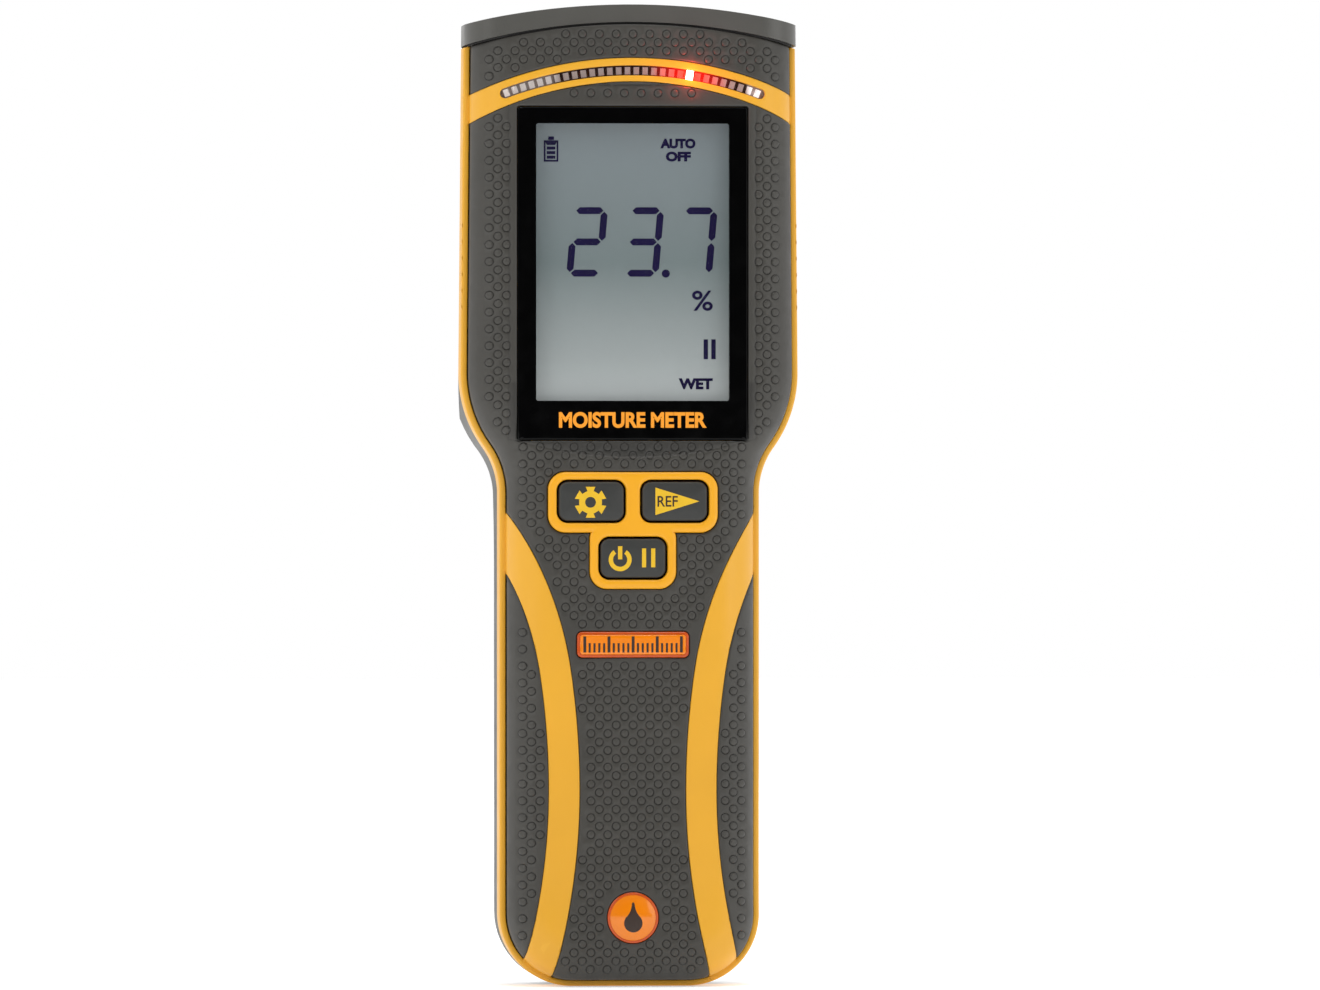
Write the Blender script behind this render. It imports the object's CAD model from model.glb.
import math

import bmesh
import bpy
import numpy as np
from mathutils import Matrix, Vector
from mathutils.bvhtree import BVHTree
from mathutils.geometry import delaunay_2d_cdt
from mathutils.kdtree import KDTree


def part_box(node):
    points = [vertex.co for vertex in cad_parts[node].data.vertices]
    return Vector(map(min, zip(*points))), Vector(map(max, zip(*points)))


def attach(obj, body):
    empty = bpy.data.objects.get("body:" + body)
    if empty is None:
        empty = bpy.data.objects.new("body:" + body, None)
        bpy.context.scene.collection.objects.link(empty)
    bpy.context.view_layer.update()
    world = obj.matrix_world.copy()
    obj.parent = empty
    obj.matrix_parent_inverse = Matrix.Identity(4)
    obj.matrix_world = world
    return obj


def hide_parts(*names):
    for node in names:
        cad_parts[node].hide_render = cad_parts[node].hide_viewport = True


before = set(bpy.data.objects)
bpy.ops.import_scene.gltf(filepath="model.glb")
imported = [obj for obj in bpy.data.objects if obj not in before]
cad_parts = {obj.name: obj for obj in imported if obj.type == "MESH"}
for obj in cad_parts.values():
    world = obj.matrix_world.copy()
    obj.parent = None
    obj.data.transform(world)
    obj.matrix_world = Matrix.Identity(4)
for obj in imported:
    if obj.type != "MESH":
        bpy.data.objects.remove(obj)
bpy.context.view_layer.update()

# The looks of a hand-held moisture meter. Shapes are worked out in millimetres in the frame's
# axes (+X right, +Z up, the display faces -Y) and turned into metres when a mesh is made.
MM = 0.001


def low(node, axis):
    """Lowest coordinate of a CAD node, in millimetres."""
    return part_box(node)[0]["xyz".index(axis)] / MM


def high(node, axis):
    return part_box(node)[1]["xyz".index(axis)] / MM


def middle(node, axis):
    return (low(node, axis) + high(node, axis)) / 2


# ------------------------------------------------------------------ case outline
HANDLE_HALF = 27.0
HEAD_HALF = 35.05
HEAD_TAPER = (35.05 - 34.38) / 79.0
CORNER = 15.0
NECK_IN = 16.3
NECK_OUT = 26.4
NECK_TOP = 127.0
NECK_TURN = math.acos(1 - (HEAD_HALF - HANDLE_HALF) / (NECK_IN + NECK_OUT))
NECK_LOW = NECK_TOP - (NECK_IN + NECK_OUT) * math.sin(NECK_TURN)
OUTLINE_TOP = 206.0
OUTLINE_END = (HEAD_HALF - HEAD_TAPER * (OUTLINE_TOP - NECK_TOP), OUTLINE_TOP)
SEAT_CENTRE, SEAT_RADIUS = 71.0, 128.0
SEAT_SPAN, ARCH_SPAN = math.radians(18), math.radians(32)
FRONT = 17.0
EDGE = 8.0
BAND, BAND_LOW = 1.3, 1.2
CROWN = 0.7
PAD_DEPTH = 0.45
ARCH_OUT = (115.0, 77.0)
ARCH_IN = (117.8, 69.3)
SCALE = (114.4, 75.0)
SCALE_TURN = math.asin(26.4 / SCALE[1])
SCALE_WIDTH = 1.03
STRIPE = 6.4
WAIST_X, WAIST_Z = 11.0, 40.7
STRIPE_RADII = (140.0, 170.0, 75.0)
STRIPE_BREAK = 66.0
LENS_X = high("display_lens", "x")
LENS_Z = middle("display_lens", "z")
LENS_HALF = high("display_lens", "z") - LENS_Z
LENS_RECESS = (0, LENS_Z, LENS_X + 0.06, LENS_HALF + 0.06, 0.45)
VIEW_X, VIEW_Z, VIEW_HALF = 20.0, 149.8, 28.65


def smooth(low_edge, high_edge, value):
    """0 below an edge and 1 above another, with an even passage between."""
    t = np.clip((value - low_edge) / (high_edge - low_edge), 0, 1)
    return t * t * (3 - 2 * t)


def arc_points(cx, cz, radius, start, end, step):
    count = max(2, int(abs(end - start) * radius / step) + 1)
    angles = np.linspace(start, end, count)
    return np.stack([cx + radius * np.cos(angles), cz + radius * np.sin(angles)], 1)


def line_points(x0, z0, x1, z1, step=0.8):
    count = max(2, int(math.hypot(x1 - x0, z1 - z0) / step) + 1)
    return np.stack([np.linspace(x0, x1, count), np.linspace(z0, z1, count)], 1)


def chain(*pieces):
    """One polyline from several that follow each other, without doubled points."""
    points = np.concatenate(pieces)
    keep = np.ones(len(points), bool)
    keep[1:] = np.hypot(*(points[1:] - points[:-1]).T) > 1e-4
    return points[keep]


def right_side():
    """The outline's right half, from the bottom's middle to above the end seat."""
    return chain(
        line_points(0, 0, HANDLE_HALF - CORNER, 0),
        arc_points(HANDLE_HALF - CORNER, CORNER, CORNER, -math.pi / 2, 0, 0.5),
        line_points(HANDLE_HALF, CORNER, HANDLE_HALF, NECK_LOW),
        arc_points(HANDLE_HALF + NECK_IN, NECK_LOW, NECK_IN, math.pi, math.pi - NECK_TURN, 0.5),
        arc_points(HEAD_HALF - NECK_OUT, NECK_TOP, NECK_OUT, -NECK_TURN, 0, 0.5),
        line_points(HEAD_HALF, NECK_TOP, *OUTLINE_END))


def side_normals(points):
    tangent = np.gradient(points, axis=0)
    tangent /= np.hypot(*tangent.T)[:, None]
    return np.stack([tangent[:, 1], -tangent[:, 0]], 1)


def band_width(z):
    return BAND_LOW + (BAND - BAND_LOW) * smooth(0, 12, z)


def inset_side(inset):
    """The right half drawn inside itself by a distance, or by the edge band's width."""
    points = right_side()
    width = band_width(points[:, 1]) if inset == "band" else np.full(len(points), float(inset))
    moved = points - side_normals(points) * width[:, None]
    moved[0] = (0, width[0])
    return moved


def whole_side(inset):
    right = inset_side(inset)
    left = right[::-1] * (-1, 1)
    return np.concatenate([left[:-1], right])


def to_segment(x, z, a, b):
    """Distance to a straight line between two points."""
    ax, az = a
    dx, dz = b[0] - ax, b[1] - az
    t = np.clip(((x - ax) * dx + (z - az) * dz) / (dx * dx + dz * dz), 0, 1)
    return np.hypot(x - ax - t * dx, z - az - t * dz)


def to_arc(x, z, cx, cz, radius, start, end):
    """Distance to an arc between two angles."""
    angle = np.arctan2(z - cz, x - cx)
    angle = np.where(angle < start - 1e-9, angle + 2 * math.pi, angle)
    on_arc = np.abs(np.hypot(x - cx, z - cz) - radius)
    ends = [np.hypot(x - cx - radius * math.cos(a), z - cz - radius * math.sin(a)) for a in (start, end)]
    return np.where(angle <= end + 1e-9, on_arc, np.minimum(*ends))


def half_width(z):
    """Half the case's width at a height."""
    z = np.asarray(z, float)
    up = CORNER - np.clip(z, 0, CORNER)
    low_corner = HANDLE_HALF - CORNER + np.sqrt(np.clip(CORNER ** 2 - up ** 2, 0, None))
    bend = NECK_LOW + NECK_IN * math.sin(NECK_TURN)
    inner = HANDLE_HALF + NECK_IN - np.sqrt(np.clip(NECK_IN ** 2 - (z - NECK_LOW) ** 2, 0, None))
    outer = HEAD_HALF - NECK_OUT + np.sqrt(np.clip(NECK_OUT ** 2 - (NECK_TOP - z) ** 2, 0, None))
    return np.select(
        [z < CORNER, z < NECK_LOW, z < bend, z < NECK_TOP],
        [low_corner, HANDLE_HALF, inner, outer],
        HEAD_HALF - HEAD_TAPER * (z - NECK_TOP))


def inside_outline(x, z):
    """Distance inwards from the case outline, negative outside it."""
    ax = np.abs(x)
    flat = HANDLE_HALF - CORNER
    nearest = np.minimum.reduce([
        to_segment(ax, z, (0, 0), (flat, 0)),
        to_arc(ax, z, flat, CORNER, CORNER, -math.pi / 2, 0),
        to_segment(ax, z, (HANDLE_HALF, CORNER), (HANDLE_HALF, NECK_LOW)),
        to_arc(ax, z, HANDLE_HALF + NECK_IN, NECK_LOW, NECK_IN, math.pi - NECK_TURN, math.pi),
        to_arc(ax, z, HEAD_HALF - NECK_OUT, NECK_TOP, NECK_OUT, -NECK_TURN, 0),
        to_segment(ax, z, (HEAD_HALF, NECK_TOP), OUTLINE_END),
    ])
    return np.where((ax <= half_width(z)) & (z > 0), nearest, -nearest)


def rounded_box(x, z, cx, cz, half_x, half_z, radius):
    """Signed distance to a rounded rectangle, negative inside."""
    dx = np.abs(x - cx) - half_x + radius
    dz = np.abs(z - cz) - half_z + radius
    return np.hypot(np.maximum(dx, 0), np.maximum(dz, 0)) + np.minimum(np.maximum(dx, dz), 0) - radius


def box_points(cx, cz, half_x, half_z, radius, step):
    """A closed rounded rectangle."""
    corners = []
    for sx, sz, start in ((1, 1, 0), (-1, 1, 90), (-1, -1, 180), (1, -1, 270)):
        x, z = cx + sx * (half_x - radius), cz + sz * (half_z - radius)
        corners.append(arc_points(x, z, radius, math.radians(start), math.radians(start + 90), step))
    pieces = []
    for number, corner in enumerate(corners):
        follower = corners[(number + 1) % 4]
        pieces.append(corner)
        pieces.append(line_points(*corner[-1], *follower[0]))
    return chain(*pieces)[:-1]


# ------------------------------------------------------------------ front features
def stripe_arcs():
    """Centre, inner radius and height range of the left stripe's three arcs."""
    low_r, mid_r, high_r = STRIPE_RADII
    bend = math.asin((STRIPE_BREAK - WAIST_Z) / mid_r)
    mid_x = -WAIST_X - mid_r
    high_x = mid_x + (mid_r - high_r) * math.cos(bend)
    high_z = WAIST_Z + (mid_r - high_r) * math.sin(bend)
    return [
        (-WAIST_X - low_r, WAIST_Z, low_r, -5.0, WAIST_Z),
        (mid_x, WAIST_Z, mid_r, WAIST_Z, STRIPE_BREAK),
        (high_x, high_z, high_r, STRIPE_BREAK, 99.0),
    ]


def stripe_distance(x, z):
    """Signed distance to either stripe, negative inside."""
    result = np.full(np.shape(x), 1e3)
    for cx, cz, radius, z0, z1 in stripe_arcs():
        offset = np.abs(np.hypot(-np.abs(x) - cx, z - cz) - radius + STRIPE / 2) - STRIPE / 2
        result = np.where((z >= z0) & (z <= z1), offset, result)
    return result


def stripe_edge(inset, side):
    pieces = []
    for cx, cz, radius, z0, z1 in stripe_arcs():
        r = radius - inset
        pieces.append(arc_points(cx, cz, r, math.asin((z0 - cz) / r), math.asin((z1 - cz) / r), 0.8))
    return chain(*pieces) * (side, 1)


def arch_distance(x, z):
    outer = np.hypot(x, z - ARCH_OUT[0]) - ARCH_OUT[1]
    inner = ARCH_IN[1] - np.hypot(x, z - ARCH_IN[0])
    return np.maximum(np.maximum(outer, inner), 165 - z)


def seat_distance(x, z, raised=0.0):
    return np.hypot(x, z - SEAT_CENTRE) - SEAT_RADIUS - raised


def lens_distance(x, z):
    return rounded_box(x, z, *LENS_RECESS)


# the key frame's two blocks: middle height, half width, half height
BEZEL_BLOCKS = ((100.2, 17.6, 6.3), (89.25, 9.0, 7.0))
BEZEL_RADIUS = 3.6
BADGE = (70.8, 11.6, 2.7, 1.1)
DOME_Z, DOME_R = middle("round_badge", "z"), high("round_badge", "x")


def bezel_distance(x, z, grow=0.0):
    """Signed distance to the key frame: two rounded blocks with a small fillet between."""
    return np.minimum(*(rounded_box(x, z, 0, cz, half_x + grow, half_z + grow, BEZEL_RADIUS + grow)
                        for cz, half_x, half_z in BEZEL_BLOCKS))


def badge_distance(x, z):
    return rounded_box(x, z, 0, *BADGE)


def dome_distance(x, z):
    return np.hypot(x, z - DOME_Z) - DOME_R


PAD_SIDE = 25.6
PAD_TOP, PAD_SIDE_END = 186.5, 113.5
PAD_SAG = (197.7, 88.1)
PAD_LINE, PAD_LINE_DEPTH = 0.24, 0.2


def pad_distance(x, z):
    """Signed distance to the flat recess round the display, negative inside."""
    sides = np.abs(x) - PAD_SIDE
    below = np.hypot(x, z - PAD_SAG[0]) - PAD_SAG[1]
    below = np.where(z < PAD_SAG[0] - 40, below, -40.0)
    return np.maximum.reduce([sides, z - PAD_TOP, below])


def front_y(x, z, pad=True):
    """The outer surface's depth in millimetres: rounded edge, slight crown, display recess."""
    inside = inside_outline(x, z)
    band = band_width(z)
    inward = np.clip(inside - band, 0, EDGE)
    y = -(FRONT - EDGE) - np.sqrt(EDGE ** 2 - (EDGE - inward) ** 2)
    y = y + np.where(inside < band, rounded(np.clip(inside, 0, None), 0.6), 0)
    y = y + CROWN * (x / (half_width(z) - EDGE)) ** 2 * smooth(0, 22, z)
    if pad:
        gap = pad_distance(x, z)
        flat = -FRONT + PAD_DEPTH
        mask = 1 - smooth(-0.22, 0.22, gap)
        y = np.where(y < flat, y + (flat - y) * mask, y)
        y = y + PAD_LINE_DEPTH * np.clip(1 - np.abs(gap) / PAD_LINE, 0, 1)
    return y


# ------------------------------------------------------------------ mesh building
def mesh_object(name, verts, faces, body, slot, smooth_angle=40.0):
    """A mesh from millimetre points that rides on a CAD body."""
    mesh = bpy.data.meshes.new(name)
    mesh.from_pydata((np.asarray(verts, float) * MM).tolist(), [], [list(map(int, f)) for f in faces])
    mesh.validate()
    mesh.update()
    piece = bpy.data.objects.new(name, mesh)
    bpy.context.scene.collection.objects.link(piece)
    shade(piece, smooth_angle)
    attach(piece, body)
    return piece


def shade(piece, angle):
    """Smooth shading with edges sharper than an angle kept sharp."""
    mesh = piece.data
    mesh.polygons.foreach_set("use_smooth", [True] * len(mesh.polygons))
    mesh.set_sharp_from_angle(angle=math.radians(angle))


class Plan:
    """A flat plan in X and Z, cut along curves into parts that become the faces of pieces."""

    def __init__(self):
        self.points = []
        self.edges = []

    def curve(self, points, closed=False):
        """Add a line that later parts one patch of faces from the next."""
        first = len(self.points)
        self.points.extend(points.tolist())
        count = len(points)
        self.edges.extend((first + k, first + k + 1) for k in range(count - 1))
        if closed:
            self.edges.append((first + count - 1, first))

    def scatter(self, points):
        self.points.extend(np.asarray(points).tolist())

    def solve(self):
        """Triangulate all that was added, and find the patches."""
        verts, edges, faces, _, edge_sources, _ = delaunay_2d_cdt(
            [Vector(p) for p in self.points], self.edges, [], 0, 1e-5)
        self.verts = np.array([tuple(v) for v in verts])
        self.faces = np.array([f for f in faces if len(f) == 3])
        walls = {tuple(sorted(e)) for e, source in zip(edges, edge_sources) if source}
        self.label(walls)

    def label(self, walls):
        """Number each patch of faces that the curves fence off."""
        neighbours = {}
        for number, face in enumerate(self.faces):
            for a, b in ((face[0], face[1]), (face[1], face[2]), (face[2], face[0])):
                neighbours.setdefault((min(a, b), max(a, b)), []).append(number)
        links = [[] for _ in self.faces]
        for edge, pair in neighbours.items():
            if len(pair) == 2 and edge not in walls:
                links[pair[0]].append(pair[1])
                links[pair[1]].append(pair[0])
        self.patch = np.full(len(self.faces), -1)
        count = 0
        for start in range(len(self.faces)):
            if self.patch[start] >= 0:
                continue
            stack = [start]
            self.patch[start] = count
            while stack:
                for follower in links[stack.pop()]:
                    if self.patch[follower] < 0:
                        self.patch[follower] = count
                        stack.append(follower)
            count += 1
        a, b, c = (self.verts[self.faces[:, k]] for k in range(3))
        area = np.abs(doubled_area(a, b, c))
        centre = (a + b + c) / 3
        self.seeds = np.zeros((count, 2))
        best = np.zeros(count)
        for number, patch in enumerate(self.patch):
            if area[number] > best[patch]:
                best[patch] = area[number]
                self.seeds[patch] = centre[number]

    def select(self, keep):
        """The faces of every patch whose seed point is wanted, and their own vertices."""
        wanted = keep(self.seeds[:, 0], self.seeds[:, 1])
        faces = self.faces[wanted[self.patch]]
        used, renumbered = np.unique(faces, return_inverse=True)
        return self.verts[used], renumbered.reshape(-1, 3)


def doubled_area(a, b, c):
    """Twice the signed area of flat triangles from their corners."""
    ab, ac = b - a, c - a
    return ab[..., 0] * ac[..., 1] - ab[..., 1] * ac[..., 0]


def turned(verts, faces):
    """Faces whose normals point to -Y."""
    cross = doubled_area(*(verts[faces[:, k]] for k in range(3)))
    return np.where((cross > 0)[:, None], faces, faces[:, ::-1])


def tree_of(points, indices=None):
    """A search tree over flat points, or over some of them, which answers with their indices."""
    indices = range(len(points)) if indices is None else indices
    tree = KDTree(len(indices))
    for index in indices:
        tree.insert((*points[index], 0), index)
    tree.balance()
    return tree


def rims(faces):
    """Directed edges that belong to one face only."""
    edges = np.concatenate([faces[:, [0, 1]], faces[:, [1, 2]], faces[:, [2, 0]]])
    seen = {(int(a), int(b)) for a, b in edges}
    return [(a, b) for a, b in seen if (b, a) not in seen]


def rim_distance(verts, faces, reach=1.2):
    """Distance from each vertex to the patch's rim, up to a reach."""
    ends = {}
    for a, b in rims(faces):
        ends.setdefault(a, []).append(b)
        ends.setdefault(b, []).append(a)
    tree = tree_of(verts, ends)
    result = np.full(len(verts), reach)
    for number, point in enumerate(verts):
        if number in ends:
            result[number] = 0
            continue
        _, index, gap = tree.find((*point, 0))
        if gap > reach * 1.5:
            continue
        for other in ends[index]:
            gap = min(gap, float(to_segment(point[0], point[1], verts[index], verts[other])))
        result[number] = min(gap, reach)
    return result


def slab(verts, faces, top, bottom):
    """A closed solid from the depths of a plan's vertices down to one depth, or to each one's own."""
    faces = turned(verts, faces)
    bottom = np.broadcast_to(bottom, len(verts))
    count = len(verts)
    upper = np.stack([verts[:, 0], top, verts[:, 1]], 1)
    used_rim = sorted({v for edge in rims(faces) for v in edge})
    position = {v: count + k for k, v in enumerate(used_rim)}
    lower = np.stack([verts[used_rim, 0], bottom[used_rim], verts[used_rim, 1]], 1)
    walls = [(b, a, position[a], position[b]) for a, b in rims(faces)]
    extra, cover = under_faces(verts, faces, used_rim)
    inner = np.stack([extra[:, 0], bottom_at(verts, bottom, extra), extra[:, 1]], 1)
    below = [tuple(count + k for k in face) for face in cover]
    return np.concatenate([upper, lower, inner]), [tuple(f) for f in faces.tolist()] + walls + below


def bottom_at(verts, bottom, points):
    """The bottom's depth at points taken from the plan's own vertices."""
    if not len(points):
        return np.zeros(0)
    tree = tree_of(verts)
    return np.array([bottom[tree.find((*point, 0))[1]] for point in points])


COVER_CELL = 4.0


def under_faces(verts, faces, rim):
    """A coarse cover with the same rim, for the hidden side of a slab."""
    order = {v: k for k, v in enumerate(rim)}
    edges = [(order[a], order[b]) for a, b in rims(faces)]
    inner = np.setdiff1d(np.arange(len(verts)), rim)
    coarse = []
    taken = set()
    for index in inner:
        cell = tuple(np.round(verts[index] / COVER_CELL))
        if cell not in taken:
            taken.add(cell)
            coarse.append(index)
    extra = verts[coarse] if coarse else np.zeros((0, 2))
    points = [Vector(p) for p in verts[rim].tolist() + extra.tolist()]
    _, _, tris, sources, _, _ = delaunay_2d_cdt(points, edges, [], 0, 1e-6)
    first = [s[0] if s else -1 for s in sources]
    directed = set(edges)
    tris = [tuple(first[k] for k in tri) for tri in tris]
    return extra, flood_inside(tris, directed, np.array([tuple(p) for p in points]))


def flood_inside(tris, directed, points):
    """Keep the triangles on the solid's side of the directed rim, facing +Y."""
    owner = {}
    fixed = []
    for tri in tris:
        cross = doubled_area(*(points[k] for k in tri))
        fixed.append(tri if cross > 0 else (tri[0], tri[2], tri[1]))
    for number, tri in enumerate(fixed):
        for k in range(3):
            owner[(tri[k], tri[(k + 1) % 3])] = number
    inside = [number for edge, number in owner.items() if edge in directed]
    seen = set(inside)
    blocked = directed | {(b, a) for a, b in directed}
    while inside:
        tri = fixed[inside.pop()]
        for k in range(3):
            edge = (tri[k], tri[(k + 1) % 3])
            if edge in blocked:
                continue
            follower = owner.get((edge[1], edge[0]))
            if follower is not None and follower not in seen:
                seen.add(follower)
                inside.append(follower)
    return [tuple(reversed(fixed[number])) for number in sorted(seen)]


ROW_GAP = 0.045


def plan_rows(curves, near=(0.05, 0.14, 0.28, 0.5)):
    """Points in rows beside curves, which carry the rounding of the edges there."""
    rows = []
    for points in curves:
        normal = side_normals(points)
        for gap in near:
            for side in (-1, 1):
                rows.append(points + normal * gap * side)
    return np.concatenate(rows)


def clear_of(points, curves, gap):
    """The points that stay a gap away from every curve."""
    tree = tree_of(np.concatenate(curves))
    gaps = np.broadcast_to(gap, len(points))
    return points[[tree.find((*p, 0))[2] >= g for p, g in zip(points, gaps)]]


def ring_of(points):
    """A closed curve with its first point again at the end."""
    return np.concatenate([points, points[:1]])


def dense(points, step=0.12):
    """The same curve with stations close together."""
    out = [line_points(*a, *b, step)[:-1] for a, b in zip(points[:-1], points[1:])]
    return np.concatenate([*out, points[-1:]])


def rounded(distance, radius):
    """How far an edge with a radius falls away at a distance from the rim."""
    inner = np.clip(radius - distance, 0, radius)
    return radius - np.sqrt(radius ** 2 - inner ** 2)


def grid(x0, x1, z0, z1, step):
    """A staggered lattice of points over a rectangle."""
    xs, zs = np.arange(x0, x1, step), np.arange(z0, z1, step * 0.87)
    gx, gz = np.meshgrid(xs, zs)
    gx = gx + (np.arange(len(zs)) % 2)[:, None] * step / 2
    return np.stack([gx.ravel(), gz.ravel()], 1)


# ------------------------------------------------------------------ the front skin's plan
DOT_PITCH, DOT_ROW = 3.48, 1.74
DOT_RADIUS = 1.0
# each ring of a dot: radius, height above the grip, number of points
DOT_RINGS = ((DOT_RADIUS, 0.0, 12), (0.84, -0.15, 12), (0.68, 0.11, 12), (0.4, 0.17, 8))
DOT_GROOVE = 0.84
DOT_EDGE, DOT_EDGE_LOW = 3.0, 1.7
DOT_GAP = 1.15
# distances from the outline with a row of points each, which carry the case's round edge
EDGE_ROWS = (0.5, 1.1, 1.9, 2.9, 4.1, 5.5, 7.2)
FIELD_STEP = 1.25
KEYS = {"setup_button": "setup_key", "reference_button": "reference_key", "power_button": "power_key"}
KEY_HALF, KEY_RADIUS = (6.75, 4.05), 1.9
KEY_HOLE = (6.75 + 0.42, 4.05 + 0.42, 2.3)


def key_faces():
    """Centre X and Z of the three key caps."""
    return [(middle(node, "x"), middle(node, "z")) for node in KEYS]


def off_keys(x, z, hole):
    """Outside three holes of one shape, each at a key."""
    return np.all([rounded_box(x, z, cx, cz, *hole) > 0 for cx, cz in key_faces()], axis=0)


def scale_slot_points(grow):
    """The closed curve round the light scale's window."""
    cz, radius = SCALE
    half = SCALE_WIDTH + grow
    left, right = math.pi / 2 + SCALE_TURN, math.pi / 2 - SCALE_TURN
    out = arc_points(0, cz, radius + half, left, right, 0.5)
    back = arc_points(0, cz, radius - half, right, left, 0.5)
    ends = []
    for side in (1, -1):
        angle = math.pi / 2 - side * SCALE_TURN
        ex, ez = radius * math.cos(angle), cz + radius * math.sin(angle)
        start = angle if side > 0 else angle + math.pi
        ends.append(arc_points(ex, ez, half, start, start - math.pi, 0.25))
    return chain(out, ends[0], back, ends[1])[:-1]


def slot_distance(x, z, grow=0.0):
    start, end = math.pi / 2 - SCALE_TURN, math.pi / 2 + SCALE_TURN
    return to_arc(x, z, 0, *SCALE, start, end) - SCALE_WIDTH - grow


def dot_centres():
    """The grip's raised dots, on a staggered lattice clear of everything on the front."""
    rows = np.arange(2.0, 198.0, DOT_ROW)
    points = []
    for number, z in enumerate(rows):
        shift = DOT_PITCH / 2 if number % 2 else 0
        points.extend((x + shift, z) for x in np.arange(-12, 12) * DOT_PITCH)
    points = np.array(points)
    x, z = points.T
    edge = DOT_EDGE_LOW + (DOT_EDGE - DOT_EDGE_LOW) * smooth(4, 30, z)
    keep = inside_outline(x, z) > band_width(z) + edge
    for distance in (seat_distance(x, z) * -1, arch_distance(x, z), stripe_distance(x, z),
                     lens_distance(x, z), bezel_distance(x, z), badge_distance(x, z), dome_distance(x, z)):
        keep &= (distance > DOT_GAP)
    return points[keep]


def front_curves():
    """Every line where the front changes material or height: open curves, then closed ones."""
    edge = whole_side(0)
    band = whole_side("band")
    up = math.pi / 2
    seat = arc_points(0, SEAT_CENTRE, SEAT_RADIUS, up + SEAT_SPAN, up - SEAT_SPAN, 0.5)
    arch = [arc_points(0, cz, r, up + ARCH_SPAN, up - ARCH_SPAN, 0.5) for cz, r in (ARCH_OUT, ARCH_IN)]
    stripes = [stripe_edge(inset, side) for inset in (0, STRIPE) for side in (-1, 1)]
    lens = box_points(*LENS_RECESS, 0.2)
    bezels = [box_points(0, *block, BEZEL_RADIUS, 0.3) for block in BEZEL_BLOCKS]
    badge = box_points(0, *BADGE, 0.3)
    dome = arc_points(0, DOME_Z, DOME_R, 0, 2 * math.pi, 0.3)[:-1]
    return [edge, band, seat, *arch, *stripes], [lens, *bezels, badge, dome, scale_slot_points(0)]


def front_plan():
    """The whole front cut along its features, with rows for rounded edges and rings for dots."""
    plan = Plan()
    open_curves, closed_curves = front_curves()
    for points in open_curves:
        plan.curve(points)
    for points in closed_curves:
        plan.curve(points, True)
    curves = open_curves + [ring_of(points) for points in closed_curves]
    stations = [dense(points) for points in curves]
    rows = clear_of(plan_rows(curves), stations, ROW_GAP)
    for inset in EDGE_ROWS:
        rows = np.concatenate([rows, clear_of(whole_side(inset), stations, 0.3)])
    cz, radius = PAD_SAG
    turn = math.asin(PAD_SIDE / radius)
    for gap in (-0.35, -0.12, 0.12, 0.35):
        side, top = PAD_SIDE + gap, PAD_TOP + gap
        lines = [line_points(x, PAD_SIDE_END, x, PAD_TOP, 0.6) for x in (-side, side)]
        lines.append(arc_points(0, cz, radius + gap, -math.pi / 2 - turn, -math.pi / 2 + turn, 0.5))
        lines.append(line_points(-PAD_SIDE, top, PAD_SIDE, top, 0.6))
        for line in lines:
            rows = np.concatenate([rows, clear_of(line, stations, 0.1)])
    rows = rows[inside_outline(rows[:, 0], rows[:, 1]) > 0.02]
    centres = dot_centres()
    rings = [centres]
    for radius, _, count in DOT_RINGS:
        turns = np.arange(count) * 2 * math.pi / count
        ring = np.stack([np.cos(turns), np.sin(turns)], 1) * radius
        rings.append((centres[:, None] + ring[None]).reshape(-1, 2))
    rows = clear_of(rows, [centres], DOT_RADIUS)
    field = grid(-36, 36, 0.4, 203, FIELD_STEP)
    field = field[inside_outline(field[:, 0], field[:, 1]) > 0.4]
    for others, gap in ((stations, 0.7), ([centres], DOT_RADIUS + 0.35), ([rows], 0.45)):
        field = clear_of(field, others, gap)
    plan.scatter(rows)
    plan.scatter(np.concatenate(rings))
    plan.scatter(field)
    plan.solve()
    return plan, centres


def surface_frame(x, z):
    """Front depth and the unit normal there, which points away from the case."""
    h = 0.02
    slope_x = (front_y(x + h, z) - front_y(x - h, z)) / (2 * h)
    slope_z = (front_y(x, z + h) - front_y(x, z - h)) / (2 * h)
    normal = np.stack([slope_x, -np.ones_like(x), slope_z], 1)
    return front_y(x, z), normal / np.linalg.norm(normal, axis=1)[:, None]


def on_yellow(x, z):
    """Where the shell's own colour shows on the front."""
    inward = inside_outline(x, z)
    band = (inward > 0) & (inward < band_width(z) + 0.02)
    raised = (arch_distance(x, z) < 0) | (stripe_distance(x, z) < 0)
    shown = (inward > 0) & (seat_distance(x, z) < 0) & (slot_distance(x, z) > 0)
    return shown & (band | raised)


def on_grip(x, z):
    """Where the soft rubber shows on the front."""
    shown = (inside_outline(x, z) > 0) & (seat_distance(x, z) < 0) & (slot_distance(x, z) > 0)
    shown &= ~on_yellow(x, z)
    for distance in (lens_distance, bezel_distance, badge_distance, dome_distance):
        shown &= distance(x, z) > 0
    return shown


def dot_lift(points, centres):
    """Height of the raised dots above the grip, and how deep in their grooves each point is."""
    tree = tree_of(centres)
    gaps = np.array([tree.find((*p, 0))[2] for p in points])
    radii = [0.0] + [r for r, _, _ in DOT_RINGS][::-1]
    lifts = [DOT_RINGS[-1][1]] + [h for _, h, _ in DOT_RINGS][::-1]
    groove = np.clip(1 - np.abs(gaps - DOT_GROOVE) / 0.15, 0, 1)
    return np.interp(gaps, radii, lifts, right=0.0), groove


SKIN_THICK, SKIN_EDGE, SKIN_WALL = 1.25, 0.22, 2.6
GRIP_THICK, GRIP_LIFT, GRIP_EDGE, GRIP_FALL = 1.15, 0.16, 0.42, 1.15


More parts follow.
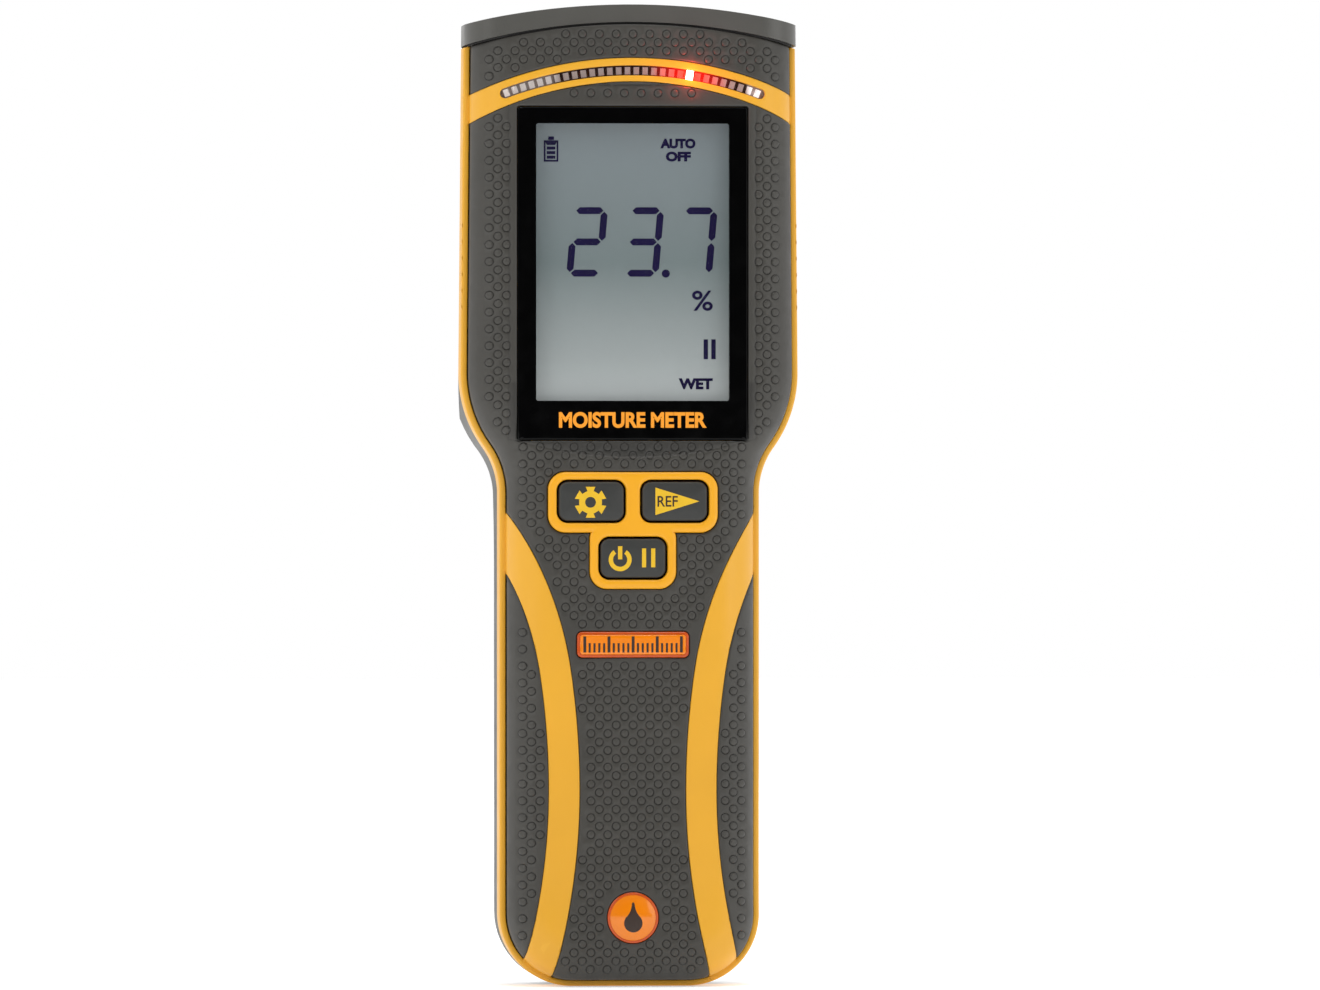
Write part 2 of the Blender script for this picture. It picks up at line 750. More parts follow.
def build_front():
    """The front's yellow skin, and the rubber with its dots raised along the surface's normal."""
    plan, centres = front_plan()
    verts, faces = plan.select(on_yellow)
    x, z = verts.T
    top = front_y(x, z, False) + rounded(rim_without_edge(verts, faces), SKIN_EDGE)
    bottom = np.where(inside_outline(x, z) < SKIN_WALL, 0.0, top + SKIN_THICK)
    bottom = np.where(bottom > top, bottom, top + 1)
    mesh_object("front_shell_skin", *slab(verts, faces, top, bottom), "case", "shell_yellow")
    verts, faces = plan.select(on_grip)
    x, z = verts.T
    y, normal = surface_frame(x, z)
    rim = rim_distance(verts, faces)
    dots, groove = dot_lift(verts, centres)
    lift = GRIP_LIFT - GRIP_FALL * rounded(rim, GRIP_EDGE) + dots
    top = np.stack([x, y, z], 1) + normal * lift[:, None]
    points, skin = slab(verts, faces, y, y + GRIP_THICK)
    points[:len(verts)] = top
    grip = mesh_object("front_grip_skin", points, skin, "case", "grip_rubber", 60)
    gap = pad_distance(x, z)
    hollow = np.clip(-gap / 0.6, 0, 1) * (z < 125) * 0.6
    line = np.clip(1 - np.abs(gap) / PAD_LINE, 0, 1) * 0.55
    dirt = np.maximum.reduce([groove * 0.8, np.clip(1 - rim / 0.3, 0, 1), hollow, line])
    layer = grip.data.attributes.new("cavity", "FLOAT", "POINT")
    layer.data.foreach_set("value", np.concatenate([dirt, np.zeros(len(points) - len(verts))]))
    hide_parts("front_grip")


def rim_without_edge(verts, faces):
    """Rim distance that ignores the case's own outline, whose edge is round already."""
    inward = inside_outline(*verts.T)
    distance = rim_distance(verts, faces, 0.6)
    return np.where(inward < 0.9, 0.6, distance)


# ------------------------------------------------------------------ smaller moulded pieces
def small_plan(curves, bounds, step, rows=(0.05, 0.14, 0.28, 0.5, 0.8)):
    """A plan cut along closed curves, with rows beside them and a lattice over the rest."""
    plan = Plan()
    for points in curves:
        plan.curve(points, True)
    closed = [ring_of(points) for points in curves]
    stations = [dense(points, 0.05) for points in closed]
    extra = clear_of(plan_rows(closed, rows), stations, ROW_GAP)
    field = clear_of(grid(*bounds, step), [*stations, extra], step * 0.6)
    plan.scatter(extra)
    plan.scatter(field)
    plan.solve()
    return plan


def build_bezel():
    """The frame round the keys, with a rounded rim and key holes."""
    gap = 0.05
    holes = [box_points(cx, cz, *KEY_HOLE, 0.25) for cx, cz in key_faces()]
    blocks = [box_points(0, cz, half_x - gap, half_z - gap, BEZEL_RADIUS, 0.25)
              for cz, half_x, half_z in BEZEL_BLOCKS]
    plan = small_plan([*blocks, *holes], (-18.5, 18.5, 81, 108), 1.0)
    verts, faces = plan.select(lambda x, z: (bezel_distance(x, z, -gap) < 0) & off_keys(x, z, KEY_HOLE))
    rim = rim_distance(verts, faces)
    outer = -bezel_distance(*verts.T, -gap)
    face = low("keypad_bezel", "y")
    top = face + np.maximum(rounded(rim, 0.55), rounded(outer, 0.9) * 0.6)
    back = high("keypad_bezel", "y")
    piece = mesh_object("keypad_bezel_frame", *slab(verts, faces, top, back), "case", "bezel_yellow")
    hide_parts("keypad_bezel")


def build_key(node, body):
    """A pillow-topped key cap."""
    cx, cz = middle(node, "x"), middle(node, "z")
    shape = (cx, cz, *KEY_HALF, KEY_RADIUS)
    face = low(node, "y")
    plan = small_plan([box_points(*shape, 0.2)], (cx - 8, cx + 8, cz - 6, cz + 6), 0.8)
    verts, faces = plan.select(lambda x, z: rounded_box(x, z, *shape) < 0)
    rim = -rounded_box(*verts.T, *shape)
    top = face + 0.28 * (1 - smooth(0, 2.6, rim)) + rounded(rim, 0.45)
    piece = mesh_object(node + "_cap", *slab(verts, faces, top, face + 1.4), body, "key_rubber")
    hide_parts(node)


def extruded(name, loops, y_face, thickness, body, bevel):
    """A flat symbol with straight sides from closed loops; a loop inside another is a hole."""
    curve = bpy.data.curves.new(name, "CURVE")
    curve.dimensions = "2D"
    curve.fill_mode = "BOTH"
    curve.extrude = thickness / 2 * MM - bevel * MM
    curve.bevel_depth = bevel * MM
    curve.bevel_resolution = 1
    for loop in loops:
        spline = curve.splines.new("POLY")
        spline.points.add(len(loop) - 1)
        for point, (x, z) in zip(spline.points, loop):
            point.co = (x * MM, z * MM, 0, 1)
        spline.use_cyclic_u = True
    return settle(name, curve, (0, (y_face + thickness / 2) * MM, 0), body)


def settle(name, curve, place, body):
    """Turns a flat curve or text into a mesh standing in the XZ plane."""
    flat = bpy.data.objects.new(name + "_flat", curve)
    bpy.context.scene.collection.objects.link(flat)
    bpy.context.view_layer.update()
    depsgraph = bpy.context.evaluated_depsgraph_get()
    mesh = bpy.data.meshes.new_from_object(flat.evaluated_get(depsgraph))
    bpy.data.objects.remove(flat)
    mesh.transform(Matrix.Translation(Vector(place)) @ Matrix.Rotation(math.pi / 2, 4, "X"))
    mesh.name = name
    piece = bpy.data.objects.new(name, mesh)
    bpy.context.scene.collection.objects.link(piece)
    shade(piece, 35)
    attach(piece, body)
    return piece


def lettering(name, words, cx, cz, width, height, y_face, thickness, body, weight):
    """Plain words fitted to a width and a height about a centre."""
    text = bpy.data.curves.new(name, "FONT")
    text.body = words
    text.align_x = "CENTER"
    text.align_y = "CENTER"
    text.size = height * 1.38 * MM
    text.offset = weight * MM
    text.extrude = thickness / 2 * MM
    piece = settle(name, text, (0, 0, 0), body)
    co = np.array([v.co for v in piece.data.vertices])
    lo, hi = co.min(0), co.max(0)
    scale_x = width * MM / (hi[0] - lo[0])
    scale_z = height * MM / (hi[2] - lo[2])
    centre = (lo + hi) / 2
    goal = Vector((cx * MM, (y_face + thickness / 2) * MM, cz * MM))
    piece.data.transform(Matrix.Translation(goal) @ Matrix.Diagonal((scale_x, 1, scale_z, 1))
                         @ Matrix.Translation(-Vector(centre)))


# ------------------------------------------------------------------ display, scale, symbols
LCD_Y = low("lcd_glass", "y")


OPENING = (0, VIEW_Z, VIEW_X, VIEW_HALF, 0.3)


def build_lens():
    """The display window: a black printed border with a clear opening, one polished sheet."""
    outer = box_points(0, LENS_Z, LENS_X - 0.02, LENS_HALF - 0.02, 0.4, 0.3)
    opening = box_points(*OPENING, 0.3)
    plan = small_plan([outer, opening], (-24, 24, 112, 183), 3.0, (0.05, 0.14, 0.25, 0.4, 0.7))
    face, back = low("display_lens", "y"), high("display_lens", "y")
    for name, side in (("display_lens_border", 1), ("display_lens_window", -1)):
        verts, faces = plan.select(
            lambda x, z: (lens_distance(x, z) < -0.05) & (side * rounded_box(x, z, *OPENING) > 0))
        edge = rounded(-lens_distance(*verts.T) - 0.08, 0.3) if side > 0 else np.zeros(len(verts))
        top = face + np.maximum(edge, 0)
        piece = mesh_object(name, *slab(verts, faces, top, back), "case", "lens_acrylic")
        if side > 0:
            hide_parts("display_lens")


SLANT = math.tan(math.radians(5))
SEGMENT = 1.42
DIGIT_LOW, DIGIT_TALL, DIGIT_WIDE = 146.85, 14.35, 7.5
# each figure's left edge and the bars that are lit in it
DIGITS = (
    (-13.6, ("top", "upper_right", "mid", "lower_left", "low")),
    (-1.95, ("top", "upper_right", "mid", "lower_right", "low")),
    (9.15, ("top", "upper_right", "lower_right")),
)


def bar_loop(x0, z0, x1, z1, half):
    """A straight display segment with pointed ends."""
    along = np.array([x1 - x0, z1 - z0])
    along = along / np.hypot(*along)
    across = np.array([-along[1], along[0]])
    a, b = np.array([x0, z0]), np.array([x1, z1])
    return [a, a + (along + across) * half, b + (across - along) * half,
            b, b - (along + across) * half, a + (along - across) * half]


def digit_loops(left, bars):
    """The lit bars of a seven-segment figure, leaning to the right."""
    half, gap = SEGMENT / 2, 0.22
    x0, x1 = left + half, left + DIGIT_WIDE - half
    z0, z1, z2 = DIGIT_LOW + half, DIGIT_LOW + DIGIT_TALL / 2, DIGIT_LOW + DIGIT_TALL - half
    ends = {
        "top": (x0 + gap, z2, x1 - gap, z2),
        "mid": (x0 + gap, z1, x1 - gap, z1),
        "low": (x0 + gap, z0, x1 - gap, z0),
        "upper_right": (x1, z1 + gap, x1, z2 - gap),
        "lower_left": (x0, z0 + gap, x0, z1 - gap),
        "lower_right": (x1, z0 + gap, x1, z1 - gap),
    }
    loops = []
    for bar in bars:
        loop = bar_loop(*ends[bar], half)
        loops.append([(x + (z - DIGIT_LOW) * SLANT, z) for x, z in loop])
    return loops


def disc(cx, cz, radius, count=28):
    turns = np.arange(count) * 2 * math.pi / count
    return [(cx + radius * math.cos(t), cz + radius * math.sin(t)) for t in turns]


def rect(x0, z0, x1, z1):
    return [(x0, z0), (x1, z0), (x1, z1), (x0, z1)]


def battery_loops(x0, z0, x1, z1):
    """A battery sign: an outline, its nub and four bars of charge."""
    line, inset, pitch = 0.35, 0.62, 0.95
    loops = [rect(x0, z0, x1, z1), rect(x0 + line, z0 + line, x1 - line, z1 - line)]
    loops.append(rect(x0 + 0.9, z1 + 0.1, x1 - 0.9, z1 + 0.8))
    for number in range(4):
        z = z0 + 0.6 + number * pitch
        loops.append(rect(x0 + inset, z, x1 - inset, z + inset))
    return loops


def build_lcd_marks():
    """What the display shows: figures, point, pause, battery sign and plain words."""
    y, thick = LCD_Y - 0.05, 0.04
    loops = [loop for left, bars in DIGITS for loop in digit_loops(left, bars)]
    loops.append(disc(7.1, 147.5, 0.84))
    loops += [rect(14.95, 129.8, 15.85, 133.9), rect(16.55, 129.8, 17.45, 133.9)]
    loops += battery_loops(-18.2, 170.6, -15.2, 175.0)
    extruded("lcd_marks", loops, y, thick, "case", 0.004)
    for name, words, cx, cz, width, height, weight in (
            ("lcd_auto", "AUTO", 9.6, 174.4, 7.3, 2.05, 0.17),
            ("lcd_off", "OFF", 9.7, 171.7, 5.2, 2.05, 0.17),
            ("lcd_percent", "%", 14.7, 141.9, 4.3, 4.2, 0.08),
            ("lcd_wet", "WET", 13.3, 124.7, 7.1, 2.3, 0.17)):
        lettering(name, words, cx, cz, width, height, y, thick, "case", weight)


def build_lcd_panel():
    """The display's glass, a plate with a thin polished edge."""
    cz = middle("lcd_glass", "z")
    shape = (0, cz, high("lcd_glass", "x"), (high("lcd_glass", "z") - low("lcd_glass", "z")) / 2, 0.4)
    plan = small_plan([box_points(*shape, 0.5)], (-23, 23, 117, 182), 4.0, (0.1, 0.3))
    verts, faces = plan.select(lambda x, z: rounded_box(x, z, *shape) < 0)
    edge = rounded(-rounded_box(*verts.T, *shape), 0.2)
    back = high("lcd_glass", "y")
    piece = mesh_object("lcd_panel", *slab(verts, faces, LCD_Y + edge, back), "case", "lcd")
    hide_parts("lcd_glass")


def gear_loop(cx, cz):
    """The outline of a six-toothed gear."""
    teeth, tip, root = 6, 3.3, 2.35
    points = []
    for tooth in range(teeth):
        centre = math.pi / 2 + tooth * 2 * math.pi / teeth
        flank = ((-0.36, root), (-0.25, root), (-0.29, tip), (0.29, tip), (0.25, root), (0.36, root))
        for offset, radius in flank:
            points.append((cx + radius * math.cos(centre + offset), cz + radius * math.sin(centre + offset)))
    return points


def power_loops(cx, cz):
    """A power sign: an open ring and a stroke in its mouth."""
    outer, inner, mouth = 2.35, 1.5, 0.62
    start, end = math.pi / 2 + mouth, math.pi / 2 - mouth + 2 * math.pi
    ring = [(cx + outer * math.cos(t), cz + outer * math.sin(t)) for t in np.linspace(start, end, 40)]
    ring += [(cx + inner * math.cos(t), cz + inner * math.sin(t)) for t in np.linspace(end, start, 40)]
    return [ring, rect(cx - 0.42, cz + 0.1, cx + 0.42, cz + 2.75)]


def build_symbols():
    """The signs on the keys: a gear, a flag with a word, and power with pause."""
    (sx, sz), (rx, rz), (px, pz) = key_faces()
    y = low("setup_button", "y") - 0.04
    tail = rx - 4.0
    gear = [gear_loop(sx - 0.2, sz - 0.2), disc(sx - 0.2, sz - 0.2, 1.15)]
    flag = [[(tail, rz + 2.8), (tail + 9.0, rz), (tail, rz - 2.8)]]
    power = power_loops(px - 2.7, pz - 0.3)
    power += [rect(px + x, pz - 1.85, px + x + 0.8, pz + 2.0) for x in (1.85, 3.75)]
    for name, loops in (("setup", gear), ("reference", flag), ("power", power)):
        extruded(name + "_symbol", loops, y, 0.35, name + "_key", 0.03)
    lettering("reference_word", "REF", tail + 2.5, rz, 4.2, 2.2, y - 0.03, 0.06,
              "reference_key", 0.03)


LIGHT_COUNT = 30
LIT = 21


def light_place(number):
    """X, Z and angle of a light, from how far apart the end ones sit."""
    cz, radius = SCALE
    reach = high("scale_lights", "x") - 0.55
    step = math.asin(min(1, reach / radius)) * 2 / (LIGHT_COUNT - 1)
    angle = math.pi / 2 - (number - (LIGHT_COUNT - 1) / 2) * step
    return radius * math.cos(angle), cz + radius * math.sin(angle), angle


def build_scale():
    """The light scale: its window, the white packages and the one that is lit."""
    grow = -0.03
    plan = small_plan([scale_slot_points(grow)], (-28, 28, 183, 191), 1.2, (0.05, 0.14, 0.3))
    verts, faces = plan.select(lambda x, z: slot_distance(x, z, grow) < 0)
    x, z = verts.T
    top = front_y(x, z, False) + 0.16 + rounded(-slot_distance(x, z, grow), 0.25)
    window = mesh_object("scale_window_strip", *slab(verts, faces, top, top + 1.6), "case", "scale_clear")
    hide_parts("scale_window")
    x, z, angle = light_place(LIT)
    along = np.array([math.cos(angle), math.sin(angle)])
    across = np.array([along[1], -along[0]])
    block = [np.array([x, z]) + across * a + along * b for a, b in rect(-0.66, -0.94, 0.66, 0.94)]
    extruded("scale_lit", [block], low("scale_lights", "y") - 0.1, 0.3, "case", 0.08)


DOME_RIM, DOME_LIP = 0.03, 0.55


def dome_depth(away):
    """How far the round badge's domed face falls back at a distance from its middle."""
    return 0.85 * (away / (DOME_R - DOME_LIP)) ** 2.4


def badge_piece(name, verts, faces, top, back):
    """A part of a badge between its shaped front and a flat back."""
    return mesh_object(name, *slab(verts, faces, top, back), "case", "badge_orange")


def name_badge():
    """The name plate: a raised rim, a face inside it and plain scale ticks."""
    cz, half_x, half_z, radius = BADGE
    gap, lip = 0.03, 0.6
    inner = (0, cz, half_x - lip, half_z - lip, radius - 0.4)
    face, back = low("name_badge", "y"), high("name_badge", "y")
    outlines = [box_points(0, cz, half_x - gap, half_z - gap, radius, 0.2), box_points(*inner, 0.2)]
    plan = small_plan(outlines, (-13, 13, 67, 74.6), 0.9)
    verts, faces = plan.select(lambda x, z: (badge_distance(x, z) < -gap) & (rounded_box(x, z, *inner) > 0))
    top = face + 0.1 + rounded(-badge_distance(*verts.T) - gap, 0.3)
    rim = badge_piece("name_badge_rim", verts, faces, top, back)
    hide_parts("name_badge")
    verts, faces = plan.select(lambda x, z: rounded_box(x, z, *inner) < 0)
    top = face + rounded(-rounded_box(*verts.T, *inner), 0.25)
    badge_piece("name_badge_face", verts, faces, top, back)
    ticks, foot = [], cz - 1.6
    for x in range(-10, 11):
        half, tall = (0.28, 3.3) if x % 5 == 0 else (0.2, 1.9)
        ticks.append(rect(x - half, foot, x + half, foot + tall))
    extruded("name_badge_ticks", ticks, face - 0.03, 0.25, "case", 0.02)


def round_badge():
    """The round badge: a raised rim, a domed face and a plain drop on it."""
    face, back = low("round_badge", "y"), high("round_badge", "y")
    outer, inner = DOME_R - DOME_RIM, DOME_R - DOME_LIP
    circles = [np.array(disc(0, DOME_Z, radius, count)) for radius, count in ((outer, 90), (inner, 84))]
    plan = small_plan(circles, (-6, 6, DOME_Z - 6, DOME_Z + 6), 0.55)

    def away(x, z):
        return np.hypot(x, z - DOME_Z)

    verts, faces = plan.select(lambda x, z: (away(x, z) < outer) & (away(x, z) > inner))
    top = face + 0.75 + rounded(DOME_R - away(*verts.T), 0.3)
    rim = badge_piece("round_badge_rim", verts, faces, top, back)
    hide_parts("round_badge")
    verts, faces = plan.select(lambda x, z: away(x, z) < inner)
    top = face + dome_depth(away(*verts.T))
    badge_piece("round_badge_face", verts, faces, top, back)

    radius, tip, base = 1.9, 4.3, DOME_Z - 1.1
    turns = np.linspace(math.radians(-205), math.radians(25), 34)
    loop = [(radius * math.cos(t), base + radius * math.sin(t)) for t in turns]
    loop = np.array(loop + [(0.15, base + tip), (-0.15, base + tip)])
    plan = small_plan([loop], (-2.4, 2.4, base - 2.4, base + 5), 0.4, (0.05, 0.15))
    verts, faces = plan.select(lambda x, z: in_loop(x, z, loop))
    top = face + dome_depth(away(*verts.T)) - 0.04
    mesh_object("round_badge_drop", *slab(verts, faces, top, top + 0.2), "case", "key_rubber")


def in_loop(x, z, loop):
    """Which points lie inside a closed polygon."""
    inside = np.zeros(len(x), bool)
    for (x0, z0), (x1, z1) in zip(loop, np.roll(loop, -1, 0)):
        crosses = (z0 > z) != (z1 > z)
        span = np.where(z1 == z0, 1e-9, z1 - z0)
        inside ^= crosses & (x < (x1 - x0) * (z - z0) / span + x0)
    return inside


def build_floor_plate():
    """The shell's own front wall under the rubber, open where parts show through it."""
    inset, seat_gap, slot_gap = 2.1, 0.1, 0.6
    edge = whole_side(inset)
    up = math.pi / 2
    seat = arc_points(0, SEAT_CENTRE, SEAT_RADIUS - seat_gap, up + SEAT_SPAN, up - SEAT_SPAN, 0.5)
    view_hole = (0, LENS_Z, 22.3, 32.0, 1.0)
    key_hole = (7.3, 4.6, 2.2)
    view = box_points(*view_hole, 0.6)
    keys = [box_points(cx, cz, *key_hole, 0.4) for cx, cz in key_faces()]
    plan = Plan()
    for points in (edge, seat):
        plan.curve(points)
    slot = scale_slot_points(slot_gap)
    for points in (view, *keys, slot):
        plan.curve(points, True)
    field = grid(-36, 36, 1.4, 203, 1.8)
    field = field[inside_outline(field[:, 0], field[:, 1]) > 2.4]
    plan.scatter(clear_of(field, [edge, seat, view, *keys, slot], 0.7))
    plan.solve()

    def wanted(x, z):
        keep = (inside_outline(x, z) > inset) & (seat_distance(x, z, -seat_gap) < 0)
        keep &= (rounded_box(x, z, *view_hole) > 0) & (slot_distance(x, z, slot_gap) > 0)
        return keep & off_keys(x, z, key_hole)

    verts, faces = plan.select(wanted)
    top = front_y(*verts.T) + 1.22
    piece = mesh_object("front_shell_wall", *slab(verts, faces, top, top + 1.2), "case", "shell_yellow")
    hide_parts("front_shell")


def build_ribs():
    """Small grip ribs on both sides of the head."""
    first, pitch, count, sunk = 140.6, 3.38, 6, 0.1
    ribs = []
    for side in (-1, 1):
        for number in range(count):
            z = first + number * pitch
            points, faces = rib_shape(side)
            ribs.append((points + np.array([side * (float(half_width(z)) - sunk), -4.5, z]), faces))
    mesh_object("side_ribs", *together(ribs), "case", "shell_yellow", 50)


def together(parts):
    """The points and faces of several closed shapes as one."""
    verts, faces = [], []
    for points, quads in parts:
        faces.extend([tuple(len(verts) + k for k in quad) for quad in quads])
        verts.extend(points)
    return np.array(verts), faces


def ring_quads(rings, around):
    """Quads between rings of points that follow each other in a list."""
    quads = []
    for ring in range(rings - 1):
        for k in range(around):
            a, b = ring * around + k, ring * around + (k + 1) % around
            quads.append((a, b, b + around, a + around))
    return quads


def rib_shape(side):
    """A pill lying along Y with a rounded crown, its faces turned out for its side of the case."""
    half_y, half_z, proud = 3.3, 0.62, 0.16
    around, rings = 24, 5
    points = []
    for level in range(rings + 1):
        t = level / rings * math.pi / 2
        shrink = half_z * (1 - math.cos(t)) if level < rings else half_z * 0.98
        out = proud * math.sin(t)
        for k in range(around):
            a = 2 * math.pi * k / around
            r = half_z - shrink
            y = math.copysign(half_y - half_z, math.cos(a)) + r * math.cos(a)
            points.append((side * out, y, r * math.sin(a)))
    cap = tuple(rings * around + k for k in range(around))
    root = tuple(range(around))
    faces = [quad[::side] for quad in (*ring_quads(rings + 1, around), cap, root[::-1])]
    return np.array(points), faces


STUD_RINGS = ((0.86, -0.12), (0.84, 0.02), (0.7, 0.14), (0.45, 0.2))
STUD_SIDES, STUD_CROWN, STUD_CLEAR = 12, 0.22, 1.7


def stud(spot, normal):
    """A low round stud standing on a spot of the rubber, as points and faces."""
    side = normal.cross(Vector((0, 0, 1))).normalized()
    rise = side.cross(normal).normalized()
    verts = []
    for radius, lift in STUD_RINGS:
        for k in range(STUD_SIDES):
            a = 2 * math.pi * k / STUD_SIDES
            verts.append(spot + side * radius * math.cos(a) + rise * radius * math.sin(a) + normal * lift)
    verts.append(spot + normal * STUD_CROWN)
    faces = [(a, d, c, b) for a, b, c, d in ring_quads(len(STUD_RINGS), STUD_SIDES)]
    last = (len(STUD_RINGS) - 1) * STUD_SIDES
    faces.extend((last + k, last + STUD_SIDES, last + (k + 1) % STUD_SIDES) for k in range(STUD_SIDES))
    faces.append(tuple(range(STUD_SIDES)))
    return verts, faces


def build_rear_dots():
    """Low round studs on the rear rubber, placed where the rubber is broad enough."""
    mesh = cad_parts["rear_grip"].data
    corners = [v.co.copy() for v in mesh.vertices]
    tree = BVHTree.FromPolygons(corners, [tuple(p.vertices) for p in mesh.polygons])
    reach = (high("rear_grip", "y") + 10) * MM

    def landing(x, z):
        hit, normal, _, _ = tree.ray_cast(Vector((x * MM, reach, z * MM)), Vector((0, -1, 0)))
        return (hit / MM, normal) if hit is not None and normal.y > 0.72 else (None, None)

    studs = []
    for row, z in enumerate(np.arange(6.0, high("rear_grip", "z") - 3, DOT_ROW)):
        for column in np.arange(-12, 12):
            x = column * DOT_PITCH + (DOT_PITCH / 2 if row % 2 else 0)
            spot, normal = landing(x, z)
            if spot is None:
                continue
            turns = np.arange(6) * math.pi / 3
            around = [landing(x + STUD_CLEAR * math.cos(a), z + STUD_CLEAR * math.sin(a))[0] for a in turns]
            if any(p is None or abs(p.y - spot.y) > 1.5 for p in around):
                continue
            studs.append(stud(spot, normal))
    verts, faces = together(studs)
    fix_normals(mesh_object("rear_grip_studs", verts, faces, "case", "grip_rubber", 60))


def tube(points, radius):
    """A round wire along a line of points, as vertices and faces."""
    around = 8
    points = np.asarray(points, float)
    tangent = np.gradient(points, axis=0)
    tangent /= np.linalg.norm(tangent, axis=1)[:, None]
    guide = np.array([0.0, 0.0, 1.0]) if abs(tangent[0][2]) < 0.9 else np.array([1.0, 0.0, 0.0])
    verts = []
    for point, along in zip(points, tangent):
        side = np.cross(along, guide)
        side /= np.linalg.norm(side)
        guide = np.cross(side, along)
        for k in range(around):
            a = 2 * math.pi * k / around
            verts.append(point + radius * (math.cos(a) * side + math.sin(a) * guide))
    last = (len(points) - 1) * around
    ends = [tuple(reversed(range(around))), tuple(last + k for k in range(around))]
    return verts, ring_quads(len(points), around) + ends


def build_springs():
    """Wound contact springs in place of the plain cones at the ends of the cells."""
    wire, turns, steps = 0.32, 5, 120
    wide, narrow = 4.1, 2.3
    bottom, top = low("contact_springs", "z"), high("contact_springs", "z")
    middle_y = middle("contact_springs", "y")
    spread = high("contact_springs", "x") - 4.4
    coils = []
    for side, start, rise, wide_low in ((1, bottom, 3.4, True), (-1, top - 1.6, 1.6, False)):
        line = []
        for step in range(steps + 1):
            t = step / steps
            radius = wide + (narrow - wide) * (t if wide_low else 1 - t)
            angle = 2 * math.pi * turns * t
            line.append((side * spread + radius * math.cos(angle), middle_y + radius * math.sin(angle),
                         start + wire + (rise - 2 * wire) * t))
        coils.append(tube(line, wire))
    piece = mesh_object("contact_spring_coils", *together(coils), "case", "contact_nickel", 60)
    fix_normals(piece)
    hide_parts("contact_springs")


def fix_normals(piece):
    """Turns every face of a piece outwards."""
    work = bmesh.new()
    work.from_mesh(piece.data)
    bmesh.ops.recalc_face_normals(work, faces=work.faces)
    work.to_mesh(piece.data)
    work.free()


# ------------------------------------------------------------------ materials
def linear(red, green, blue):
    """Linear colour from display values of 0 to 255."""
    def one(value):
        value /= 255
        return value / 12.92 if value <= 0.04045 else ((value + 0.055) / 1.055) ** 2.4
    return (one(red), one(green), one(blue), 1.0)


class Finish:
    """A node material made step by step."""

    def __init__(self, name):
        self.material = bpy.data.materials.new(name)
        self.material.use_nodes = True
        self.nodes = self.material.node_tree.nodes
        self.links = self.material.node_tree.links
        self.shader = self.nodes["Principled BSDF"]
        self.place = self.nodes.new("ShaderNodeTexCoord").outputs["Object"]

    def set(self, **values):
        for key, value in values.items():
            self.shader.inputs[key.replace("_", " ")].default_value = value
        return self

    def noise(self, size, detail=3.0):
        """A noise with features of a size in millimetres."""
        node = self.nodes.new("ShaderNodeTexNoise")
        node.inputs["Scale"].default_value = 1 / (size * MM)
        node.inputs["Detail"].default_value = detail
        self.links.new(self.place, node.inputs["Vector"])
        return node.outputs["Fac"]

    def span(self, source, low_in, high_in, low_out, high_out):
        """A value carried evenly from one range into another, and kept inside it."""
        node = self.nodes.new("ShaderNodeMapRange")
        sockets = ("From Min", "From Max", "To Min", "To Max")
        for key, value in zip(sockets, (low_in, high_in, low_out, high_out)):
            node.inputs[key].default_value = value
        self.links.new(source, node.inputs["Value"])
        return node.outputs["Result"]

    def mix(self, factor, first, second):
        node = self.nodes.new("ShaderNodeMix")
        node.data_type = "RGBA"
        self.links.new(factor, node.inputs[0])
        for socket, value in ((node.inputs[6], first), (node.inputs[7], second)):
            if isinstance(value, tuple):
                socket.default_value = value
            else:
                self.links.new(value, socket)
        return node.outputs[2]

    def axis(self, letter):
        node = self.nodes.new("ShaderNodeSeparateXYZ")
        self.links.new(self.place, node.inputs[0])
        return node.outputs[letter.upper()]

    def join(self, source, socket):
        self.links.new(source, self.shader.inputs[socket])
        return self

    def bump(self, source, depth):
        node = self.nodes.new("ShaderNodeBump")
        node.inputs["Strength"].default_value = 0.4
        node.inputs["Distance"].default_value = depth * MM
        self.links.new(source, node.inputs["Height"])
        return self.join(node.outputs[0], "Normal")

    def worn(self, colour, amount):
        """Lighter along the sharpest edges, where hands and benches rub."""
        geometry = self.nodes.new("ShaderNodeNewGeometry")
        edge = self.span(geometry.outputs["Pointiness"], 0.53, 0.6, 0.0, amount)
        return self.mix(edge, colour, tuple(min(1, c * 1.6 + 0.05) for c in self.base[:3]) + (1.0,))


def shade_of(colour, factor):
    """A darker or lighter shade of a colour."""
    return tuple(c * factor for c in colour[:3]) + (1.0,)


def moulded(name, colour, rough, grain, depth, patch, vary, wear=0.0, cavity=0.0, **more):
    """Moulded plastic or rubber: faint colour drift, uneven gloss and a fine texture."""
    finish = Finish(name)
    finish.base = colour
    mixed = finish.mix(finish.span(finish.noise(patch), 0.3, 0.7, 0, 1),
                       shade_of(colour, 1 - vary), shade_of(colour, 1 + vary))
    if wear:
        mixed = finish.worn(mixed, wear)
    if cavity:
        hollow = finish.nodes.new("ShaderNodeAttribute")
        hollow.attribute_name = "cavity"
        mixed = finish.mix(finish.span(hollow.outputs["Fac"], 0, 1, 0, cavity), mixed, shade_of(colour, 0.15))
    finish.join(mixed, "Base Color")
    fine = finish.noise(grain, 4)
    finish.join(finish.span(finish.noise(patch / 5), 0.3, 0.7, rough - 0.05, rough + 0.05), "Roughness")
    finish.bump(fine, depth)
    return finish.set(**more)


